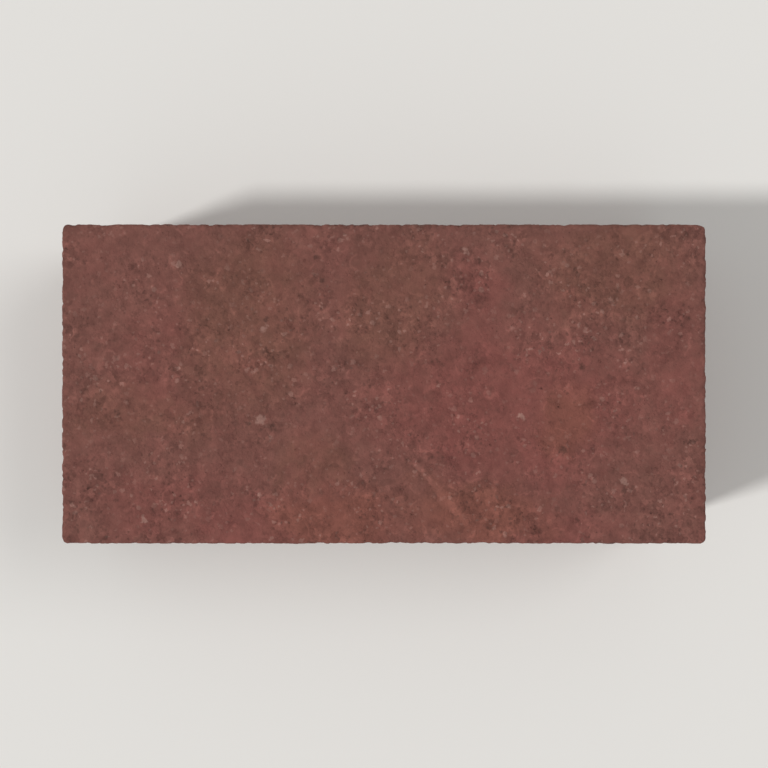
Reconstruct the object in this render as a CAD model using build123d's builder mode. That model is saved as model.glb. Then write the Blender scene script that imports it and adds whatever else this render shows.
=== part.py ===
from build123d import *
import os

# A rectangular concrete paving stone, vibrated and pressed in one piece, with square edges and
# spacer ribs on its four sides. It lies on its bed face with the wearing face up, its length
# along X and its width along Y. The origin is the middle of the bed face. Sizes in millimetres.

# Laying grid: the pitch of laid stones, which is one stone and one joint
module_length = 200.0
module_width = 100.0
joint_width = 1.5

# Body
stone_height = 60.0
corner_radius = 2.0  # upright corners, which the mould rounds
arris_radius = 0.8  # edge of the wearing face

# Spacer ribs, which stand out by one joint and bear on the next stone's wall
rib_root_width = 10.0
rib_crest_width = 6.0
rib_edge_radius = 0.6  # long edges of the crest
rib_cover = 8.0  # from the wearing face down to the ribs, so that the joint hides them
rib_lead_in = 4.0  # height of the slope that guides the next stone down past a rib
rib_shift = 20.0  # from the middle of a module, to the right as seen from outside

stone_length = module_length - joint_width
stone_width = module_width - joint_width
rib_height = stone_height - rib_cover


def rib_centres(modules, pitch):
    """Places of the ribs along a wall, one for each module that meets it."""
    first_middle = -(modules - 1) * pitch / 2
    return [first_middle + i * pitch + rib_shift for i in range(modules)]


# Each wall's plane: its foot's middle, right as seen from outside, and the way it faces
half_length = stone_length / 2
half_width = stone_width / 2
front_wall = Plane(origin=(0, -half_width, 0), x_dir=(1, 0, 0), z_dir=(0, -1, 0))
right_wall = Plane(origin=(half_length, 0, 0), x_dir=(0, 1, 0), z_dir=(1, 0, 0))
back_wall = Plane(origin=(0, half_width, 0), x_dir=(-1, 0, 0), z_dir=(0, 1, 0))
left_wall = Plane(origin=(-half_length, 0, 0), x_dir=(0, -1, 0), z_dir=(-1, 0, 0))

# A long wall meets two modules and a short wall one. Every rib is shifted to the same hand, so in
# stretcher bond, basket weave and herringbone no rib ever meets another rib, only a plain wall.
long_centres = rib_centres(modules=2, pitch=module_length / 2)
short_centres = rib_centres(modules=1, pitch=module_width)
rib_seats = [
    wall.location * Location((centre, 0, 0))
    for wall, centres in (
        (front_wall, long_centres),
        (right_wall, short_centres),
        (back_wall, long_centres),
        (left_wall, short_centres),
    )
    for centre in centres
]

# One rib in its wall's frame: X along the wall, Y up from the bed and Z outwards
with BuildPart() as spacer_rib:
    with BuildSketch(Plane.XZ):
        with BuildLine():
            Polyline(
                (-rib_root_width / 2, 0),
                (-rib_crest_width / 2, joint_width),
                (rib_crest_width / 2, joint_width),
                (rib_root_width / 2, 0),
                close=True,
            )
        make_face()
    extrude(amount=-rib_height)
    crest = spacer_rib.faces().sort_by(Axis.Z)[-1]
    fillet(crest.edges().filter_by(Axis.Y), radius=rib_edge_radius)
    # The lead-in slopes from the wall at the rib's top down to the crest
    lead_in = Plane(
        origin=(0, rib_height, 0),
        x_dir=(1, 0, 0),
        z_dir=(0, joint_width, rib_lead_in),
    )
    split(bisect_by=lead_in, keep=Keep.BOTTOM)

with BuildPart() as paving_stone:
    with BuildSketch():
        RectangleRounded(stone_length, stone_width, corner_radius)
    extrude(amount=stone_height)
    wearing_face = paving_stone.faces().sort_by(Axis.Z)[-1]
    fillet(wearing_face.edges(), radius=arris_radius)
    with Locations(*rib_seats):
        add(spacer_rib.part)

paving_stone.part.label = "paving_stone"

os.makedirs("parts", exist_ok=True)
export_step(paving_stone.part, "parts/paving_stone.step")
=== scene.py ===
"""A concrete paving stone on a plain stage, seen from straight above, dressed around its solid."""

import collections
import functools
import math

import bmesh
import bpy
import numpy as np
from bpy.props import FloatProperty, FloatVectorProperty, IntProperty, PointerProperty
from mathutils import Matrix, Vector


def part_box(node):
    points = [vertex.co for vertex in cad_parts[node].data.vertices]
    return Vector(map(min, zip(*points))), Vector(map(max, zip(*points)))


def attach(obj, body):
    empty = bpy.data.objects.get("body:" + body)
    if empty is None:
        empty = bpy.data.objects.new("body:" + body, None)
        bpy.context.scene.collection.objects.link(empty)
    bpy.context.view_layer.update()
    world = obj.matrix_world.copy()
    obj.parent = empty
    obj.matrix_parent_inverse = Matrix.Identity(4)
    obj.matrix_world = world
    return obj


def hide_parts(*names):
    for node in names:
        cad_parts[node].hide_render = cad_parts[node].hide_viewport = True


bl_info = {
    "name": "Concrete Paving Stone",
    "version": (1, 0, 0),
    "blender": (4, 5, 0),
    "location": "3D View > Sidebar > Paving",
    "description": "Gives a cast paving stone its grain, voids, worn edges and pigment, and sets the stage",
    "category": "Object",
}

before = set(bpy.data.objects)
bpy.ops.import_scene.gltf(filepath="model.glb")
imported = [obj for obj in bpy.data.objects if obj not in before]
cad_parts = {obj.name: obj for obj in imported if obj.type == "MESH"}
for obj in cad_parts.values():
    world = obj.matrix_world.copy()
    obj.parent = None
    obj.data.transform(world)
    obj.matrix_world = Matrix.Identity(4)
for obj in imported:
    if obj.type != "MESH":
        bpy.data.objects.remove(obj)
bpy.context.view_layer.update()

MM = 0.001  # one millimetre in metres

NODE = "paving_stone"
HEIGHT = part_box(NODE)[1].z  # from the bed face up to the wearing face
RIB_COVER = 8 * MM  # from the wearing face down to the spacer ribs


def half_sizes():
    """Half the length and half the width between the walls, measured above the ribs."""
    points = [vertex.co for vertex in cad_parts[NODE].data.vertices]
    above = [point for point in points if point.z > HEIGHT - RIB_COVER / 2]
    return max(point.x for point in above), max(point.y for point in above)


HALF_LENGTH, HALF_WIDTH = half_sizes()

# Where pigment has gathered in the wearing face: the middle and the reach of each cloud along X and
# Y, in millimetres from the stone's middle, and how strong it is
RED_CLOUDS = (
    ((40, -7), (55, 32), 1.0),
    ((28, 25), (11, 18), 0.7),
    ((42, -42), (40, 14), 0.7),
    ((-30, -44), (46, 15), 0.8),
    ((-66, -38), (28, 16), 0.7),
    ((-72, 7), (16, 18), 0.45),
    ((88, 4), (10, 34), 0.55),
)
UMBER_CLOUDS = (
    ((-41, 18), (27, 36), 0.9),
    ((3, 24), (22, 28), 0.8),
    ((72, 35), (34, 20), 0.8),
    ((-72, -9), (34, 11), 0.7),
    ((-22, -26), (15, 12), 0.9),
)
ORANGE_CLOUDS = (
    ((-15, -43), (26, 13), 0.8),
    ((28, -39), (30, 13), 0.85),
    ((58, -9), (13, 14), 0.8),
)
CLOUD_DEPTH = 25 * MM  # how far a cloud reaches down from the wearing face

# Single marks in the wearing face, in millimetres from its middle: the ends of a pale scratch, the
# far one last, and the middle and the radius of each pale or dark stone that shows
SCRATCH = ((10, -25), (25, -42))
SCRATCH_LOSS = 0.5  # share of the scratch that is lost by its far end
PALE_STONES = (
    ((-38, -11), 2.0),
    ((-37, 17), 1.5),
    ((-63, 37), 1.3),
    ((25, 41), 1.5),
    ((42, -10), 1.3),
    ((74, -30), 1.5),
    ((-74, -42), 1.3),
)
DARK_STONES = (
    ((-36, 20), 1.2),
    ((-36, 10), 1.6),
    ((-34, -13), 1.6),
    ((-42, -12), 1.2),
    ((-21, 39), 1.3),
    ((-19, 32), 1.2),
    ((-82, -9), 1.3),
    ((29, 38), 1.3),
    ((55, -20), 1.5),
    ((61, 5), 1.4),
    ((74, -33), 1.3),
    ((95, -18), 1.5),
)

# How far from the wearing face and from the bed their finish is full, and where it ends
WEARING_FULL, WEARING_END = 0.5 * MM, 1.4 * MM
BED_FULL, BED_END = 0.4 * MM, 1.2 * MM

SURFACE_DROP = 0.02 * MM  # how far the cast surface lies under the plain solid, its relief apart
PRESSED_DEPTH = 0.1 * MM  # over which the highest places are pressed flat
SUNK_GRAIN = 0.3  # share of the tallest grain's height that is sunk in the paste

# The weights by which triangles are thinned out: this small one down to this depth, and 1 below it
SPARED_DEPTH = 2 * MM
SPARED_WEIGHT = 0.01

# In the copy of the solid, points this near are one point, and faces that turn this little are one
SAME_POINT = 0.001 * MM
SAME_FACE = math.radians(1)

# The flat map of the six sides: the way that runs across each side and the way that runs up it, the
# middle of its place on the map, and its scale in map widths per metre. The sides are the low and
# the high end along X, Y and Z, and the wearing face comes last.
MAP_SIDES = (
    ((0, -1, 0), (0, 0, 1), (0.628, 0.24), 2.4),
    ((0, 1, 0), (0, 0, 1), (0.876, 0.24), 2.4),
    ((1, 0, 0), (0, 0, 1), (0.248, 0.08), 2.4),
    ((-1, 0, 0), (0, 0, 1), (0.752, 0.08), 2.4),
    ((-1, 0, 0), (0, 1, 0), (0.248, 0.285), 2.4),
    ((1, 0, 0), (0, 1, 0), (0.5, 0.745), 4.9),
)


def linear(value):
    """The share of full light that a screen shows as this value from 0 to 255, by the sRGB curve."""
    share = value / 255
    return share / 12.92 if share <= 0.04045 else ((share + 0.055) / 1.055) ** 2.4


def opaque(tone):
    """The colour with full cover, as sockets take it."""
    return (*tone, 1.0)


def length(name, description, millimetres):
    """A setting that holds a length."""
    return FloatProperty(
        name=name, description=description, default=millimetres * MM, min=0.0, precision=5,
        unit="LENGTH", subtype="DISTANCE",
    )


def colour(name, description, red, green, blue):
    """A setting that holds a colour, given as a screen shows it."""
    return FloatVectorProperty(
        name=name, description=description, default=(linear(red), linear(green), linear(blue)),
        min=0.0, max=1.0, size=3, subtype="COLOR",
    )


def part_of_one(name, description, default):
    """A setting that holds a share from 0 to 1."""
    return FloatProperty(
        name=name, description=description, default=default, min=0.0, max=1.0, subtype="FACTOR",
    )


def angle(name, description, degrees):
    """A setting that holds an angle."""
    return FloatProperty(
        name=name, description=description, default=math.radians(degrees),
        unit="ROTATION", subtype="ANGLE",
    )


class StoneRelief(bpy.types.PropertyGroup):
    """Sizes of the grain, the voids and the wear on the cast surface."""

    pitch: length("Pitch", "Spacing of the points that carry the relief", 0.4)
    triangles: IntProperty(
        name="Triangles", description="Triangles that are left in the finished mesh",
        default=196000, min=1000,
    )
    favour: FloatProperty(
        name="Favour", description="How much more the wearing face is spared as triangles are thinned out",
        default=8e-5, min=0.0, max=1.0, precision=6,
    )
    swell: length("Swell", "Height of the broad unevenness of a face", 0.12)
    lump_size: length("Lump size", "Size of the lumps of paste and sand", 4.2)
    lump_height: length("Lump height", "Height of the lumps of paste and sand", 1.2)
    sand_size: length("Sand size", "Spacing of the coarse sand grains", 2.4)
    sand_height: length("Sand height", "How far a coarse sand grain stands out", 0.4)
    grit_size: length("Grit size", "Spacing of the fine sand grains", 1.2)
    grit_height: length("Grit height", "How far a fine sand grain stands out", 0.12)
    dust_size: length("Dust size", "Spacing of the finest grains that can be told apart", 0.7)
    dust_height: length("Dust height", "How far one of the finest grains stands out", 0.07)
    skin_size: length("Skin size", "Size of the small unevenness of the paste", 1.8)
    skin_height: length("Skin height", "Height of the small unevenness of the paste", 0.3)
    tooth_size: length("Tooth size", "Size of the finest unevenness of the paste", 0.5)
    tooth_height: length("Tooth height", "Height of the finest unevenness of the paste", 0.12)
    gravel_size: length("Gravel size", "Spacing of the small stones in the walls and the bed", 6.0)
    gravel_height: length("Gravel height", "How far a small stone stands out in a wall", 0.35)
    void_size: length("Void size", "Size of the hollows between small stones in the walls and the bed", 4.5)
    void_depth: length("Void depth", "Depth of the hollows in the walls and the bed", 1.2)
    pore_size: length("Pore size", "Size of the fine pores in the walls and the bed", 1.6)
    pore_depth: length("Pore depth", "Depth of the fine pores", 0.4)
    pit_size: length("Pit size", "Size of the pits in the wearing face", 2.6)
    pit_depth: length("Pit depth", "Depth of the pits in the wearing face", 0.6)
    pinhole_size: length("Pinhole size", "Size of the finest holes, which lie in every face", 1.1)
    pinhole_depth: length("Pinhole depth", "Depth of the finest holes", 0.25)
    scratch_depth: length("Scratch depth", "Depth of the scratch in the wearing face", 0.25)
    drag_size: length("Drag mark width", "Spacing of the marks that the mould leaves on the walls", 1.4)
    drag_height: length("Drag mark depth", "Depth of the marks that the mould leaves on the walls", 0.16)
    edge_wear: length("Edge wear", "How far grains have broken away along the edges", 0.6)


class StoneMottle(bpy.types.PropertyGroup):
    """How far patches, grains and marks differ from the paste, in shade or by a tint, and how strongly
    shade is painted into hollows and gaps.
    """

    level: FloatProperty(
        name="Level", description="Lightness of the whole stone, where 1 is that of its colours",
        default=1.022, min=0.0,
    )
    patch_shade: part_of_one("Patch shade", "How much lighter or darker broad patches are", 0.26)
    blotch_shade: part_of_one("Blotch shade", "How much lighter or darker small blotches are", 0.5)
    fleck_shade: part_of_one("Fleck shade", "How much lighter or darker flecks in the paste are", 0.36)
    sand_shade: part_of_one("Sand shade", "How much lighter or darker coarse sand grains are", 0.16)
    grit_shade: part_of_one("Grit shade", "How much lighter or darker fine sand grains are", 0.14)
    dust_shade: part_of_one("Dust shade", "How much lighter or darker the finest grains are", 0.06)
    tooth_shade: part_of_one("Tooth shade", "How much lighter or darker the finest unevenness is", 0.2)
    stroke_shade: part_of_one("Stroke shade", "How much lighter the short strokes of paste are", 0.22)
    scratch_shade: part_of_one("Scratch shade", "How much lighter the scratch is", 0.4)
    cloud_tint: part_of_one("Cloud tint", "Strength of the red and the orange clouds", 0.8)
    bloom_tint: part_of_one("Bloom tint", "Strength of the cement skin on the walls and the bed", 1.0)
    bare_tint: part_of_one("Bare stone tint", "Strength of the bare stones in the walls and the bed", 0.45)
    grain_tint: part_of_one("Grain tint", "Strength of the pale and dark grains that are picked out", 0.3)
    sand_tint: part_of_one("Dark sand tint", "Strength of the dark grains of coarse sand", 0.4)
    pale_tint: part_of_one("Pale stone tint", "Strength of the single pale stones", 0.75)
    dark_tint: part_of_one("Dark stone tint", "Strength of the single dark stones", 0.6)
    # Painted shade: how strongly pits, voids, pores and pinholes are darkened
    hollow_painted_shade: part_of_one("Hollow tint", "Strength of the dark in pits, voids and pores", 0.45)
    # Painted shade: how strongly the gaps between open grains are darkened
    gap_painted_shade: part_of_one("Gap tint", "Strength of the dark between open grains", 0.18)


class StoneColours(bpy.types.PropertyGroup):
    """Colours of the concrete, as a screen shows them in plain light."""

    brown: colour("Brown paste", "The paste where the brown pigment prevails", 116, 76, 68)
    umber: colour("Umber paste", "The paste where the brown turns a little yellower", 114, 76, 65)
    red: colour("Red paste", "The paste where the red pigment has gathered", 123, 73, 67)
    orange: colour("Orange paste", "The brightest clouds of pigment", 122, 76, 64)
    pale: colour("Pale grains", "Sand grains that show through the paste", 150, 114, 104)
    # Besides the dark grains, this colour paints the shade in pits, voids, pores and between open grains
    dark: colour("Dark grains", "Dark grains, and the bottoms of pits", 74, 50, 44)
    stone: colour("Bare stones", "Small stones that show in the walls and the bed", 128, 108, 98)
    bloom: colour("Bloom", "Cement skin left on the walls and the bed", 134, 106, 96)


class StageSettings(bpy.types.PropertyGroup):
    """The floor, the light and the camera."""

    floor: colour("Floor", "Colour of the floor", 226, 224, 220)
    floor_reach: length("Floor reach", "How far the floor runs from its middle to each side", 3000)
    lens: FloatProperty(name="Lens", description="Focal length", default=60.0, min=10.0, unit="CAMERA")
    fill: part_of_one("Fill", "Share of the picture's width that the stone takes", 0.84)
    sky: part_of_one("Sky", "Share of a level face's light that comes from all round", 0.42)
    main: part_of_one("Main lamp", "The main lamp's share of the light that the sky leaves over", 0.72)
    lamp_height: angle("Lamp height", "Angle of both lamps above the floor", 48)
    lamp_side: angle("Lamp side", "Direction that the main lamp shines from, turned from +X to +Y", -160)
    lamp_width: angle("Lamp width", "How wide the main lamp looks from the stone", 7)
    fill_width: angle("Fill width", "How wide the second lamp looks from the stone", 30)


# Grains packed side by side: the nearness to the middle of a grain, and its three random shares
Grains = collections.namedtuple("Grains", "nearness shares")


class Recipe:
    """Adds nodes to one tree."""

    def __init__(self, tree, place=None):
        self.tree = tree
        self.place = place

    def feed(self, socket, value):
        """Links a socket to the input, or sets the input to a plain value."""
        if isinstance(value, bpy.types.NodeSocket):
            self.tree.links.new(value, socket)
        else:
            socket.default_value = value

    def add(self, kind, inputs, **settings):
        """Adds a node with these inputs and settings."""
        node = self.tree.nodes.new(kind)
        for name, value in settings.items():
            setattr(node, name, value)
        for name, value in inputs.items():
            self.feed(node.inputs[name], value)
        return node

    def math(self, operation, *numbers):
        """One sum of up to three numbers."""
        return self.add("ShaderNodeMath", dict(enumerate(numbers)), operation=operation).outputs[0]

    def total(self, *numbers):
        """The numbers added together."""
        return functools.reduce(functools.partial(self.math, "ADD"), numbers)

    def product(self, *numbers):
        """The numbers multiplied together."""
        return functools.reduce(functools.partial(self.math, "MULTIPLY"), numbers)

    def largest(self, *numbers):
        """The largest of the numbers."""
        return functools.reduce(functools.partial(self.math, "MAXIMUM"), numbers)

    def less(self, first, second):
        """The first number less the second."""
        return self.math("SUBTRACT", first, second)

    def centred(self, number):
        """A number from 0 to 1, lowered so that it lies about 0."""
        return self.less(number, 0.5)

    def held(self, number):
        """The number, held between 0 and 1."""
        return self.math("MINIMUM", self.math("MAXIMUM", number, 0.0), 1.0)

    def vector(self, operation, first, second=(0, 0, 0)):
        """One sum of two vectors."""
        node = self.add("ShaderNodeVectorMath", {0: first, 1: second}, operation=operation)
        return node.outputs["Value" if operation in ("LENGTH", "DOT_PRODUCT") else "Vector"]

    def split(self, vector):
        """The three parts of a vector or a colour."""
        return self.add("ShaderNodeSeparateXYZ", {0: vector}).outputs

    def joined(self, x, y, z):
        """A vector of three numbers."""
        return self.add("ShaderNodeCombineXYZ", {0: x, 1: y, 2: z}).outputs[0]

    def share(self, value, none, full):
        """Runs smoothly from 0 where the value is none to 1 where it is full."""
        inputs = {"Value": value, "From Min": none, "From Max": full, "To Min": 0.0, "To Max": 1.0}
        return self.add("ShaderNodeMapRange", inputs, interpolation_type="SMOOTHSTEP").outputs[0]

    def between(self, share, low, high):
        """Runs evenly from the low number where the share is 0 to the high one where it is 1."""
        return self.total(low, self.product(share, high - low))

    def tint(self, amount, first, second):
        """Mixes two colours."""
        # The colour sockets share their names with others of the node, so they go by number
        inputs = {"Factor": amount, 6: first, 7: second}
        return self.add("ShaderNodeMix", inputs, data_type="RGBA").outputs[2]

    def clouded(self, size, detail=2.0, roughness=0.5, place=None):
        """Cloudy noise with lumps of this size, as a node."""
        place = place or self.place
        inputs = {"Vector": place, "Scale": 1 / size, "Detail": detail, "Roughness": roughness}
        return self.add("ShaderNodeTexNoise", inputs)

    def noise(self, size, detail=2.0, roughness=0.5, place=None):
        """Cloudy noise from 0 to 1, mostly near one half."""
        return self.clouded(size, detail, roughness, place).outputs[0]

    def crumbly(self, size, place=None):
        """Noise from 0 to 1 with much fine detail in its lumps."""
        return self.noise(size, detail=3.0, roughness=0.6, place=place)

    def ripple(self, size, reach, detail=2.0, roughness=0.5, place=None):
        """Cloudy noise about 0, which stays well within this reach either way."""
        return self.product(self.centred(self.noise(size, detail, roughness, place)), reach)

    def shifted(self, size, reach, place=None):
        """The place pushed about by noise, which makes outlines uneven."""
        place = place or self.place
        push = self.vector("SUBTRACT", self.clouded(size, place=place).outputs["Color"], (0.5, 0.5, 0.5))
        return self.vector("ADD", place, self.vector("MULTIPLY", push, (reach, reach, reach)))

    def grains(self, size):
        """Grains at this spacing, with uneven outlines."""
        place = self.shifted(size=0.4 * size, reach=0.7 * size)
        cells = self.add("ShaderNodeTexVoronoi", {"Vector": place, "Scale": 1 / size})
        nearness = self.share(cells.outputs["Distance"], none=0.66, full=0.15)
        return Grains(nearness, self.split(cells.outputs["Color"]))

    def few(self, share, reach):
        """Turns grains' random shares into numbers about 0, within this reach, few of them far from 0."""
        number = self.less(self.product(share, 2.0), 1.0)
        return self.product(number, number, number, reach)

    def hollows(self, size, level, slope=0.1):
        """Uneven hollows where noise falls under a level, from 0 outside them to 1 at their bottoms."""
        lumps = self.noise(size, detail=4.0, roughness=0.62)
        return self.share(self.less(level, lumps), none=0.0, full=slope)


class CastSurface(Recipe):
    """The cast surface's patterns that shape its mesh, from which its colours are drawn too."""

    def __init__(self, tree, place, relief):
        super().__init__(tree, place)
        self.relief = relief
        self.x, self.y, self.z = self.split(place)

    @functools.cached_property
    def wearing(self):
        """How far a place belongs to the wearing face."""
        return self.share(self.z, none=HEIGHT - WEARING_END, full=HEIGHT - WEARING_FULL)

    @functools.cached_property
    def rough(self):
        """How far a place belongs to the walls or the bed face."""
        return self.less(1.0, self.wearing)

    @functools.cached_property
    def bed(self):
        """How far a place belongs to the bed face."""
        return self.share(self.z, none=BED_END, full=BED_FULL)

    @functools.cached_property
    def lumps(self):
        """Lumps of paste and sand."""
        return self.crumbly(self.relief.lump_size)

    @functools.cached_property
    def sand(self):
        """Coarse sand grains."""
        return self.grains(self.relief.sand_size)

    @functools.cached_property
    def gravel(self):
        """Small stones."""
        return self.grains(self.relief.gravel_size)

    @functools.cached_property
    def dryness(self):
        """Runs from 0 to 1 where the mix was dry and has left open places."""
        return self.noise(size=20 * MM, detail=1.0)

    @functools.cached_property
    def voids(self):
        """The hollows of the walls and the bed face, more where the mix was dry and on the bed."""
        size = self.relief.void_size
        more_on_bed = self.product(self.bed, 0.05)
        level = self.total(self.between(self.dryness, low=0.19, high=0.54), more_on_bed)
        small = self.hollows(size, level)
        wide = self.hollows(size=2.2 * size, level=self.less(level, 0.05), slope=0.06)
        return self.product(self.largest(small, wide), self.rough)

    @functools.cached_property
    def pits(self):
        """The pits of the wearing face."""
        return self.product(self.hollows(self.relief.pit_size, level=0.35, slope=0.08), self.wearing)

    def drawn(self, squeeze):
        """The place with its height squeezed, so that patterns on the walls run up and down."""
        return self.joined(self.x, self.y, self.product(self.z, squeeze))

    def edge(self, reach):
        """Runs from 0 on the faces to 1 on the edges, over this reach."""
        from_end = self.less(HALF_LENGTH, self.math("ABSOLUTE", self.x))
        from_side = self.less(HALF_WIDTH, self.math("ABSOLUTE", self.y))
        from_level = self.math("MINIMUM", self.z, self.less(HEIGHT, self.z))
        nearer = self.math("MINIMUM", from_end, from_side)
        farther = self.math("MAXIMUM", from_end, from_side)
        second = self.math("MAXIMUM", nearer, self.math("MINIMUM", farther, from_level))
        return self.share(second, none=reach, full=0.0)

    def raised(self, grains):
        """How far grains stand out of the paste, each as its first random share says."""
        return self.less(self.product(grains.nearness, grains.shares[0]), SUNK_GRAIN)

    def height(self):
        """Height of the cast surface over the plain solid, never above it."""
        relief = self.relief
        sand, gravel = self.raised(self.sand), self.raised(self.gravel)
        drag = self.crumbly(relief.drag_size, place=self.drawn(squeeze=0.06))
        walls = self.less(self.rough, self.bed)
        ragged = self.share(self.crumbly(size=2.2 * MM), none=0.42, full=0.78)
        height = self.total(
            -SURFACE_DROP,
            self.ripple(size=28 * MM, reach=relief.swell),
            self.product(self.centred(self.lumps), relief.lump_height),
            self.product(sand, relief.sand_height),
            self.product(gravel, self.rough, relief.gravel_height),
            self.product(self.pits, -relief.pit_depth),
            self.product(self.voids, -relief.void_depth),
            self.product(self.centred(drag), walls, relief.drag_height),
            self.product(self.edge(reach=1.6 * MM), ragged, -relief.edge_wear),
        )
        # The mould, the board and the tamper press the highest places flat
        return self.math("SMOOTH_MIN", height, 0.0, PRESSED_DEPTH)


class CastFinish(CastSurface):
    """The patterns that are too fine for the mesh or have no height, and what all of them colour."""

    def __init__(self, tree, place, relief, mottle, colours):
        super().__init__(tree, place, relief)
        self.mottle = mottle
        self.colours = colours

    @functools.cached_property
    def skin(self):
        """Small unevenness of the paste."""
        return self.crumbly(self.relief.skin_size)

    @functools.cached_property
    def tooth(self):
        """The finest unevenness of the paste."""
        return self.crumbly(self.relief.tooth_size)

    @functools.cached_property
    def grit(self):
        """Fine sand grains."""
        return self.grains(self.relief.grit_size)

    @functools.cached_property
    def dust(self):
        """The finest grains."""
        return self.grains(self.relief.dust_size)

    @functools.cached_property
    def pores(self):
        """The fine pores of the walls and the bed face."""
        level = self.between(self.dryness, low=0.24, high=0.4)
        return self.product(self.hollows(self.relief.pore_size, level), self.rough)

    @functools.cached_property
    def pinholes(self):
        """The finest holes."""
        return self.hollows(self.relief.pinhole_size, level=0.3, slope=0.05)

    @functools.cached_property
    def open_sand(self):
        """Runs from 0 where a film of paste covers the sand to 1 where the sand lies open."""
        return self.share(self.crumbly(size=9 * MM), none=0.35, full=0.65)

    @functools.cached_property
    def grained(self):
        """How strongly single grains show: little in smooth paste and much where it is full of sand."""
        sandy = self.share(self.noise(size=13 * MM), none=0.38, full=0.62)
        return self.between(sandy, low=0.55, high=1.45)

    @functools.cached_property
    def strokes(self):
        """Short curved strokes of pale paste, which lie where broad noise crosses its middle."""
        place = self.shifted(size=3 * MM, reach=2 * MM)
        apart = self.math("ABSOLUTE", self.ripple(size=9 * MM, reach=1.0, detail=1.0, place=place))
        kept = self.share(self.noise(size=6 * MM, detail=1.0), none=0.54, full=0.62)
        return self.product(self.share(apart, none=0.035, full=0.005), kept, self.wearing)

    @functools.cached_property
    def scratch(self):
        """The pale scratch, from 0 beside it to 1 along its middle, fading towards its far end."""
        start, end = (Vector((x * MM, y * MM, HEIGHT)) for x, y in SCRATCH)
        along = end - start
        offset = self.vector("SUBTRACT", self.shifted(size=5 * MM, reach=3.5 * MM), start)
        part = self.held(self.vector("DOT_PRODUCT", offset, along / along.length_squared))
        nearest = self.vector("MULTIPLY", along, self.joined(part, part, part))
        apart = self.vector("LENGTH", self.vector("SUBTRACT", offset, nearest))
        broken = self.share(self.noise(size=4 * MM, detail=4.0, roughness=0.65), none=0.2, full=0.45)
        fading = self.less(1.0, self.product(part, SCRATCH_LOSS))
        return self.product(self.share(apart, none=1.9 * MM, full=0.5 * MM), broken, fading, self.wearing)

    def stones_at(self, spots):
        """The stones that show in the wearing face at these spots, from 0 beside them to 1 on them."""
        place = self.shifted(size=1.6 * MM, reach=3.5 * MM)
        found = []
        for (x, y), radius in spots:
            offset = self.vector("SUBTRACT", place, (x * MM, y * MM, HEIGHT))
            apart = self.vector("LENGTH", offset)
            found.append(self.share(apart, none=radius * MM, full=0.4 * radius * MM))
        return self.product(self.largest(*found), self.wearing)

    def clouds(self, place, spots):
        """How strongly the pigment of some clouds shows at a place."""
        found = []
        for (x, y), (reach_x, reach_y), strength in spots:
            offset = self.vector("SUBTRACT", place, (x * MM, y * MM, HEIGHT))
            in_reaches = (1 / (reach_x * MM), 1 / (reach_y * MM), 1 / CLOUD_DEPTH)
            apart = self.vector("LENGTH", self.vector("MULTIPLY", offset, in_reaches))
            found.append(self.product(self.share(apart, none=1.1, full=0.35), strength))
        return self.largest(*found)

    def fine_height(self):
        """Height of what is too fine for the mesh."""
        relief, grit, dust = self.relief, self.grit, self.dust

        # Fine sand stands out most where it lies open, and each grain by a height of its own
        openness = self.total(0.3, self.open_sand)
        own_height = self.total(0.4, grit.shares[2])
        return self.total(
            self.product(self.skin, relief.skin_height),
            self.product(grit.nearness, openness, own_height, relief.grit_height),
            self.product(dust.nearness, dust.shares[2], relief.dust_height),
            self.product(self.tooth, relief.tooth_height),
            self.product(self.pinholes, -relief.pinhole_depth),
            self.product(self.scratch, -relief.scratch_depth),
            self.product(self.pores, -relief.pore_depth),
        )

    def pigmented_paste(self):
        """The colour of the paste: two browns, with clouds of red and orange."""
        colours, strength = self.colours, self.mottle.cloud_tint
        drifting = self.shifted(size=18 * MM, reach=22 * MM)
        place = self.shifted(size=4 * MM, reach=6 * MM, place=drifting)
        drift = self.share(self.noise(size=30 * MM, detail=3.0), none=0.35, full=0.7)

        # A little red lies all over, most in its clouds, and some drifts, ripples or goes by grains
        red_all_over = 0.05
        red_clouds = self.product(self.clouds(place, RED_CLOUDS), strength)
        red_drift = self.product(drift, self.between(self.rough, low=0.2, high=0.5))
        red_ripple = self.ripple(size=8 * MM, reach=0.6, detail=3.0, roughness=0.6)
        red_grains = self.product(self.centred(self.sand.shares[2]), 0.2)
        redness = self.total(red_all_over, red_clouds, red_drift, red_ripple, red_grains)
        yellowness = self.total(self.clouds(place, UMBER_CLOUDS), self.product(drift, self.rough, 0.5))
        orange = self.product(self.clouds(place, ORANGE_CLOUDS), strength)
        paste = self.tint(yellowness, opaque(colours.brown), opaque(colours.umber))
        paste = self.tint(self.held(redness), paste, opaque(colours.red))
        return self.tint(orange, paste, opaque(colours.orange))

    def cement_skin(self):
        """How much pale cement skin covers the walls and the bed, drawn into streaks by the mould."""
        streaky = self.noise(size=2.4 * MM, detail=4.0, roughness=0.6, place=self.drawn(squeeze=0.08))
        patchy = self.noise(size=16 * MM, detail=3.0)
        film = 0.06
        streaks = self.product(self.share(streaky, none=0.42, full=0.75), 0.25)
        patches = self.product(self.share(patchy, none=0.38, full=0.7), 0.2)
        cover = self.total(film, streaks, patches)
        return self.product(self.rough, self.less(1.0, self.voids), cover)

    def bare_stones(self):
        """How far small stones show in the walls and the bed, where they are scoured bare."""
        picked = self.share(self.gravel.shares[1], none=0.86, full=0.9)
        scoured = self.share(self.noise(size=3 * MM, detail=4.0, roughness=0.7), none=0.5, full=0.56)
        on_stone = self.share(self.gravel.nearness, none=0.4, full=0.5)
        return self.product(picked, on_stone, scoured, self.rough)

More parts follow.
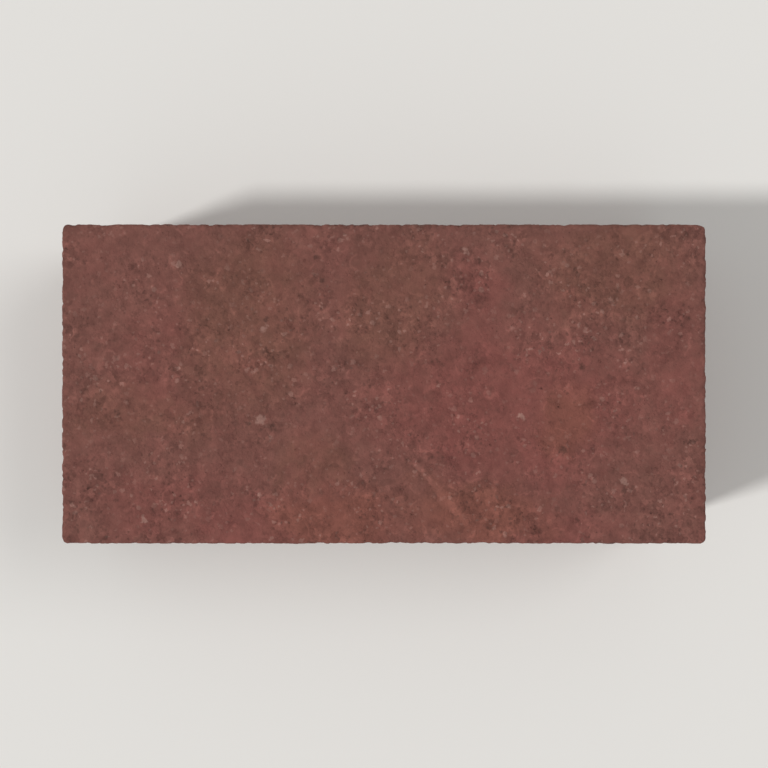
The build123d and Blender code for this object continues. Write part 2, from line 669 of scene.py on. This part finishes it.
    def shade(self):
        """How much lighter or darker each grain and patch of paste is than its pigment, about 1."""
        mottle = self.mottle
        blotches = self.ripple(size=5 * MM, reach=mottle.blotch_shade, detail=1.5)
        speckle = self.total(
            self.ripple(size=2.4 * MM, reach=mottle.fleck_shade, detail=1.0),
            self.few(self.sand.shares[1], mottle.sand_shade),
            self.few(self.grit.shares[1], mottle.grit_shade),
            self.few(self.dust.shares[2], mottle.dust_shade),
            self.product(self.centred(self.tooth), mottle.tooth_shade),
        )
        return self.total(
            mottle.level,
            self.ripple(size=16 * MM, reach=mottle.patch_shade, detail=1.0),
            self.product(blotches, self.between(self.wearing, low=0.5, high=1.0)),
            self.product(speckle, self.grained),
            self.product(self.strokes, mottle.stroke_shade),
            self.product(self.scratch, mottle.scratch_shade),
        )

    def tints(self):
        """What lies on the paste from the first laid to the last, ending with painted shade: how much, how
        strong and its colour.
        """
        sand, grit, dust = self.sand, self.grit, self.dust
        mottle, colours = self.mottle, self.colours

        # A few grains are picked by their random shares
        pale_grit = self.share(grit.shares[0], none=0.975, full=0.985)
        pale_dust = self.share(dust.shares[0], none=0.96, full=0.98)
        dark_dust = self.share(dust.shares[1], none=0.92, full=0.96)
        dark_sand = self.product(self.share(sand.shares[1], none=0.986, full=0.992), sand.nearness)

        # Painted shade: hollows and the gaps between open grains are darkened where shade would fall in
        # them
        painted_shade_in_hollows = self.largest(self.pits, self.voids, self.pores, self.pinholes)
        painted_shade_between_grains = self.product(self.share(grit.nearness, none=0.3, full=0.0), self.open_sand)
        return (
            (self.cement_skin(), mottle.bloom_tint, colours.bloom),
            (self.bare_stones(), mottle.bare_tint, colours.stone),
            (self.product(pale_grit, self.grained), mottle.grain_tint, colours.pale),
            (self.product(pale_dust, self.grained), mottle.grain_tint, colours.pale),
            (self.product(dark_dust, self.grained), mottle.grain_tint, colours.dark),
            (dark_sand, mottle.sand_tint, colours.dark),
            (self.stones_at(PALE_STONES), mottle.pale_tint, colours.pale),
            (self.stones_at(DARK_STONES), mottle.dark_tint, colours.dark),
            # Painted shade in the hollows and between open grains, drawn in the dark colour
            (painted_shade_in_hollows, mottle.hollow_painted_shade, colours.dark),
            (painted_shade_between_grains, mottle.gap_painted_shade, colours.dark),
        )


def relief_nodes(relief):
    """A geometry node tree that moves each point of the surface by the height of the relief."""
    tree = bpy.data.node_groups.new("cast_relief", "GeometryNodeTree")
    tree.interface.new_socket("Geometry", in_out="INPUT", socket_type="NodeSocketGeometry")
    tree.interface.new_socket("Geometry", in_out="OUTPUT", socket_type="NodeSocketGeometry")
    cast = CastSurface(tree, tree.nodes.new("GeometryNodeInputPosition").outputs[0], relief)
    height = cast.height()
    normal = tree.nodes.new("GeometryNodeInputNormal").outputs[0]
    offset = cast.vector("MULTIPLY", normal, cast.joined(height, height, height))
    plain = tree.nodes.new("NodeGroupInput").outputs[0]
    moved = cast.add("GeometryNodeSetPosition", {"Geometry": plain, "Offset": offset}).outputs[0]
    cast.add("NodeGroupOutput", {0: moved})
    return tree


def concrete(relief, mottle, colours):
    """Pigmented concrete: clouds of red in brown, grains, pits, a skin of cement on the walls, and shade
    painted into hollows.
    """
    material = bpy.data.materials.new("pigmented_concrete")
    material.use_nodes = True
    tree = material.node_tree
    tree.nodes.clear()
    place = tree.nodes.new("ShaderNodeTexCoord").outputs["Object"]
    cast = CastFinish(tree, place, relief, mottle, colours)

    paste = cast.pigmented_paste()
    for amount, strength, tone in cast.tints():
        paste = cast.tint(cast.product(amount, strength), paste, opaque(tone))
    shade = cast.shade()
    paste = cast.vector("MULTIPLY", paste, cast.joined(shade, shade, shade))

    bump = cast.add("ShaderNodeBump", {"Height": cast.fine_height(), "Distance": 1.0, "Strength": 1.0})
    surface = cast.add(
        "ShaderNodeBsdfPrincipled",
        {
            "Base Color": paste,
            "Roughness": cast.between(cast.tooth, low=0.82, high=1.02),
            "Specular IOR Level": 0.2,
            "Normal": bump.outputs[0],
        },
    )
    cast.add("ShaderNodeOutputMaterial", {"Surface": surface.outputs[0]})
    return material


def apply_modifiers(piece):
    """Gives the piece the mesh that its modifiers make, and takes them off."""
    graph = bpy.context.evaluated_depsgraph_get()
    ready = piece.evaluated_get(graph)
    mesh = bpy.data.meshes.new_from_object(ready, preserve_all_data_layers=True, depsgraph=graph)
    piece.modifiers.clear()
    piece.data = mesh


def numbers(items, name, kind, width=1):
    """One value of every item of a mesh, as an array."""
    found = np.empty(len(items) * width, kind)
    items.foreach_get(name, found)
    return found.reshape(-1, width) if width > 1 else found


def nearest_side(places):
    """The number in MAP_SIDES of the side that each place lies nearest to."""
    reach = np.array((HALF_LENGTH, HALF_WIDTH, HEIGHT / 2))
    centred = places - np.array((0, 0, HEIGHT / 2))
    axis = np.argmax(np.abs(centred) - reach, axis=1)
    high_end = np.take_along_axis(centred, axis[:, None], axis=1)[:, 0] > 0
    return 2 * axis + high_end


def lay_out_map(mesh):
    """Lays the six sides of the mesh out on a flat map, which a finish can be baked through."""
    corners = numbers(mesh.loops, "vertex_index", np.int32)
    places = numbers(mesh.vertices, "co", np.float32, 3)[corners]
    sides = nearest_side(numbers(mesh.polygons, "center", np.float32, 3))
    sides = np.repeat(sides, numbers(mesh.polygons, "loop_total", np.int32))
    spots = np.empty((len(corners), 2))
    for number, (across, up, middle, scale) in enumerate(MAP_SIDES):
        held = sides == number
        flat = (places[held] - np.array((0, 0, HEIGHT / 2))) @ np.array((across, up)).T
        spots[held] = np.array(middle) + flat * scale
    mesh.uv_layers.new(name="OFBake").data.foreach_set("uv", spots.ravel())


def spare_wearing_face(piece):
    """Gives the points by the wearing face a small weight in the group of what is thinned out."""
    heights = numbers(piece.data.vertices, "co", np.float32, 3)[:, 2]
    near = heights > HEIGHT - SPARED_DEPTH
    group = piece.vertex_groups.new(name="thinned_out")
    for held, weight in ((near, SPARED_WEIGHT), (~near, 1.0)):
        group.add(np.flatnonzero(held).tolist(), weight, "REPLACE")
    return group.name


def thin_out(piece, relief):
    """Leaves the piece the triangles that its settings allow, and spares the wearing face."""
    thin = piece.modifiers.new("fewer_triangles", "DECIMATE")
    squares = len(piece.data.polygons)
    thin.ratio = relief.triangles / (2 * squares)
    thin.use_collapse_triangulate = True
    thin.vertex_group = spare_wearing_face(piece)
    thin.vertex_group_factor = relief.favour
    apply_modifiers(piece)
    piece.vertex_groups.clear()


def solid_copy(name):
    """A new piece with the solid's shape, its loose triangles joined into clean faces."""
    made = bmesh.new()
    made.from_mesh(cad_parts[NODE].data)
    bmesh.ops.remove_doubles(made, verts=made.verts, dist=SAME_POINT)
    bmesh.ops.dissolve_limit(made, angle_limit=SAME_FACE, verts=made.verts, edges=made.edges)
    mesh = bpy.data.meshes.new(name)
    made.to_mesh(mesh)
    made.free()
    piece = bpy.data.objects.new(name, mesh)
    bpy.context.scene.collection.objects.link(piece)
    return piece


class PAVING_OT_stone(bpy.types.Operator):
    """Cast the stone's surface around its solid and give it pigmented concrete"""

    bl_idname = "paving.stone"
    bl_label = "Cast the Stone"

    def execute(self, context):
        scene = context.scene
        relief = scene.stone_relief
        piece = solid_copy("cast_stone")
        remesh = piece.modifiers.new("even_points", "REMESH")
        remesh.mode = "VOXEL"
        remesh.voxel_size = relief.pitch
        moved = piece.modifiers.new("relief", "NODES")
        moved.node_group = relief_nodes(relief)
        apply_modifiers(piece)
        thin_out(piece, relief)
        lay_out_map(piece.data)
        piece.data.polygons.foreach_set("use_smooth", [True] * len(piece.data.polygons))
        piece.data.materials.append(concrete(relief, scene.stone_mottle, scene.stone_colours))
        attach(piece, "root")
        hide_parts(NODE)
        return {"FINISHED"}


def flat_material(name, tone):
    """A plain matt material."""
    material = bpy.data.materials.new(name)
    material.use_nodes = True
    surface = material.node_tree.nodes["Principled BSDF"]
    surface.inputs["Base Color"].default_value = opaque(tone)
    surface.inputs["Roughness"].default_value = 0.9
    surface.inputs["Specular IOR Level"].default_value = 0.1
    return material


def add_sun(name, side, height, light, width):
    """A soft lamp that lights a level face by this share of a plain level."""
    data = bpy.data.lights.new(name, "SUN")
    data.energy = light * math.pi / math.sin(height)
    data.angle = width
    lamp = bpy.data.objects.new(name, data)
    flat = math.cos(height)
    towards = Vector((flat * math.cos(side), flat * math.sin(side), math.sin(height)))
    lamp.rotation_euler = towards.to_track_quat("Z", "Y").to_euler()
    lamp.location = towards
    bpy.context.scene.collection.objects.link(lamp)


def studio_world(stage):
    """White light from all round, with a backdrop as pale as the floor behind it."""
    world = bpy.data.worlds.new("studio")
    world.use_nodes = True
    tree = world.node_tree
    tree.nodes.clear()
    recipe = Recipe(tree)
    light = recipe.add("ShaderNodeBackground", {"Color": opaque((1.0, 1.0, 1.0)), "Strength": stage.sky})
    backdrop = recipe.add("ShaderNodeBackground", {"Color": opaque(stage.floor), "Strength": 1.0})
    direct = tree.nodes.new("ShaderNodeLightPath").outputs["Is Camera Ray"]
    mixed = recipe.add("ShaderNodeMixShader", {0: direct, 1: light.outputs[0], 2: backdrop.outputs[0]})
    recipe.add("ShaderNodeOutputWorld", {"Surface": mixed.outputs[0]})
    return world


class PAVING_OT_stage(bpy.types.Operator):
    """Lay the floor, set the light and look straight down"""

    bl_idname = "paving.stage"
    bl_label = "Set the Stage"

    def execute(self, context):
        stage = context.scene.stage_settings
        made = bmesh.new()
        bmesh.ops.create_grid(made, x_segments=1, y_segments=1, size=stage.floor_reach)
        mesh = bpy.data.meshes.new("floor")
        made.to_mesh(mesh)
        made.free()
        mesh.materials.append(flat_material("floor_paint", stage.floor))
        floor = bpy.data.objects.new("floor", mesh)
        context.scene.collection.objects.link(floor)

        context.scene.world = studio_world(stage)
        main_light = stage.main * (1 - stage.sky)
        fill_light = (1 - stage.main) * (1 - stage.sky)
        add_sun("main_lamp", stage.lamp_side, stage.lamp_height, main_light, stage.lamp_width)
        add_sun("fill_lamp", stage.lamp_side + math.pi, stage.lamp_height, fill_light, stage.fill_width)

        data = bpy.data.cameras.new("camera")
        data.lens = stage.lens
        camera = bpy.data.objects.new("camera", data)
        seen_width = 2 * HALF_LENGTH / stage.fill
        camera.location = (0, 0, HEIGHT + seen_width * data.lens / data.sensor_width)
        context.scene.collection.objects.link(camera)
        context.scene.camera = camera
        context.scene.view_settings.view_transform = "Standard"
        return {"FINISHED"}


class PAVING_PT_sidebar(bpy.types.Panel):
    """The stone's settings and the buttons that make it"""

    bl_label = "Paving Stone"
    bl_idname = "PAVING_PT_sidebar"
    bl_space_type = "VIEW_3D"
    bl_region_type = "UI"
    bl_category = "Paving"

    def draw(self, context):
        for settings, button in (
            ("stone_relief", None),
            ("stone_mottle", None),
            ("stone_colours", PAVING_OT_stone.bl_idname),
            ("stage_settings", PAVING_OT_stage.bl_idname),
        ):
            group = getattr(context.scene, settings)
            column = self.layout.column(align=True)
            for name in group.__annotations__:
                column.prop(group, name)
            if button:
                self.layout.operator(button)


SETTINGS = {
    "stone_relief": StoneRelief,
    "stone_mottle": StoneMottle,
    "stone_colours": StoneColours,
    "stage_settings": StageSettings,
}
TOOLS = (PAVING_OT_stone, PAVING_OT_stage, PAVING_PT_sidebar)


def register():
    for name, group in SETTINGS.items():
        bpy.utils.register_class(group)
        setattr(bpy.types.Scene, name, PointerProperty(type=group))
    for tool in TOOLS:
        bpy.utils.register_class(tool)


def unregister():
    for tool in reversed(TOOLS):
        bpy.utils.unregister_class(tool)
    for name, group in reversed(SETTINGS.items()):
        delattr(bpy.types.Scene, name)
        bpy.utils.unregister_class(group)


def main():
    """Makes the stone and its stage."""
    register()
    bpy.ops.paving.stone()
    bpy.ops.paving.stage()
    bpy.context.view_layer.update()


if __name__ == "__main__":
    main()
